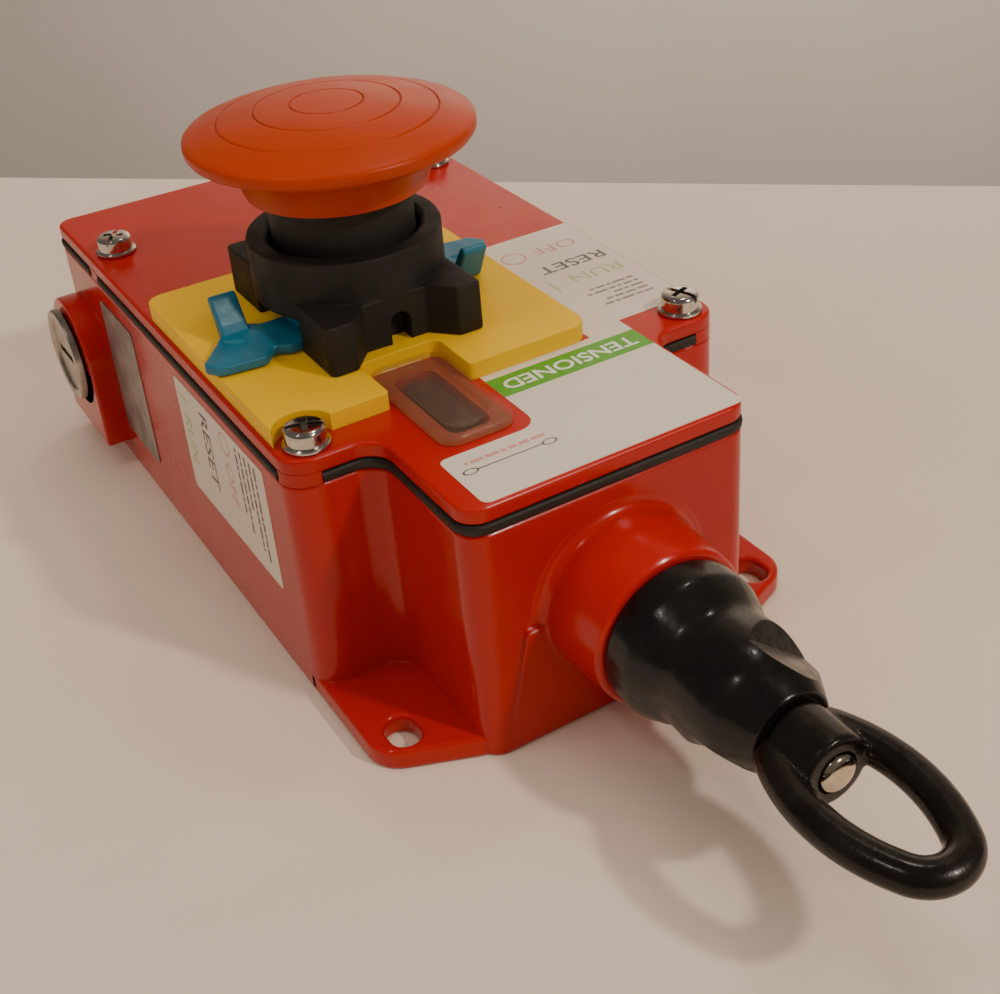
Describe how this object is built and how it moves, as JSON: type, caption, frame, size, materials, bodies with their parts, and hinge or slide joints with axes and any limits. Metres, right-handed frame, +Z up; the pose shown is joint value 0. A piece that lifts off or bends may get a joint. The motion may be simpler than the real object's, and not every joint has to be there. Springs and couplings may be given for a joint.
{
  "type": "rope pull switch",
  "caption": "Red cast cable-pull safety switch with a mushroom stop button, guard collar, reset lever, tension window, rubber-booted pull shaft and swivel eye.",
  "frame": {"origin": "centre of the four foot slots, on the base plane", "axes": "+X along the pull shaft towards the eye, +Z up out of the base towards the button, +Y to the side away from the conduit plug"},
  "size_m": [0.2888, 0.1185, 0.1104],
  "materials": {
    "housing_red": "gloss",
    "cover_red": "satin",
    "gasket_rubber": "matte",
    "zinc_screw": "satin",
    "yellow_plastic": "matte",
    "clear_pane": "gloss",
    "black_plastic": "matte",
    "blue_plastic": "satin",
    "red_plastic": "satin",
    "plug_plated": "satin",
    "washer_fibre": "matte",
    "bearing_plastic": "matte",
    "bright_steel": "satin",
    "black_enamel": "gloss",
    "boot_rubber": "gloss",
    "spring_steel": "satin",
    "cam_plastic": "matte",
    "zinc_sheet": "satin",
    "grey_plastic": "matte",
    "brass_screw": "satin",
    "earth_green": "satin"
  },
  "bodies": {
    "enclosure": {"housing": "housing_red", "gasket": "gasket_rubber", "cover": "cover_red", "cover_screw_fl": "zinc_screw", "cover_screw_fr": "zinc_screw", "cover_screw_rl": "zinc_screw", "cover_screw_rr": "zinc_screw", "button_plate": "yellow_plastic", "window_seal": "washer_fibre", "window_pane": "clear_pane", "button_bushing": "black_plastic", "bushing_nut": "black_plastic", "guard_collar": "black_plastic", "plug_washer": "washer_fibre", "conduit_plug": "plug_plated", "shaft_bush": "bearing_plastic", "boot": "boot_rubber", "main_spring": "spring_steel", "carrier_plate": "zinc_sheet", "contact_block_left": "grey_plastic", "contact_block_right": "grey_plastic", "terminal_screws_left": "brass_screw", "terminal_screws_right": "brass_screw", "earth_screw": "earth_green"},
    "shaft": {"pull_shaft": "bright_steel", "spring_seat": "bright_steel", "cam_block": "cam_plastic", "indicator_flag": "zinc_sheet"},
    "eye": {"swivel_eye": "black_enamel"},
    "button": {"button_stem": "black_plastic", "mushroom_cap": "red_plastic"},
    "lever": {"reset_lever": "blue_plastic"},
    "left_plunger": {"plunger_left": "bearing_plastic"},
    "right_plunger": {"plunger_right": "bearing_plastic"}
  },
  "joints": [
    {"name": "pull", "type": "slide", "parent": "enclosure", "child": "shaft", "axis": [1, 0, 0], "range_m": [0, 0.012], "stiffness_N_per_m": 2500, "springref_m": -0.01, "deforming": ["main_spring"]},
    {"name": "eye_swivel", "type": "hinge", "parent": "shaft", "child": "eye", "pos_m": [0.158, 0, 0.0292], "axis": [1, 0, 0], "continuous": true},
    {"name": "button_push", "type": "slide", "parent": "enclosure", "child": "button", "axis": [0, 0, -1], "range_m": [0, 0.005], "stiffness_N_per_m": 1500, "springref_m": -0.004},
    {"name": "lever_turn", "type": "hinge", "parent": "enclosure", "child": "lever", "pos_m": [0.0232, -0.0144, 0.065], "axis": [0, 0, 1], "range_deg": [-25, 0]},
    {"name": "plunger_left_move", "type": "slide", "parent": "enclosure", "child": "left_plunger", "axis": [0, -1, 0], "range_m": [0, 0.003]},
    {"name": "plunger_right_move", "type": "slide", "parent": "enclosure", "child": "right_plunger", "axis": [0, 1, 0], "range_m": [0, 0.003]}
  ],
  "couplings": [
    {"joint": "plunger_left_move", "follows": "pull", "ratio": 0.2},
    {"joint": "plunger_right_move", "follows": "pull", "ratio": 0.2}
  ]
}
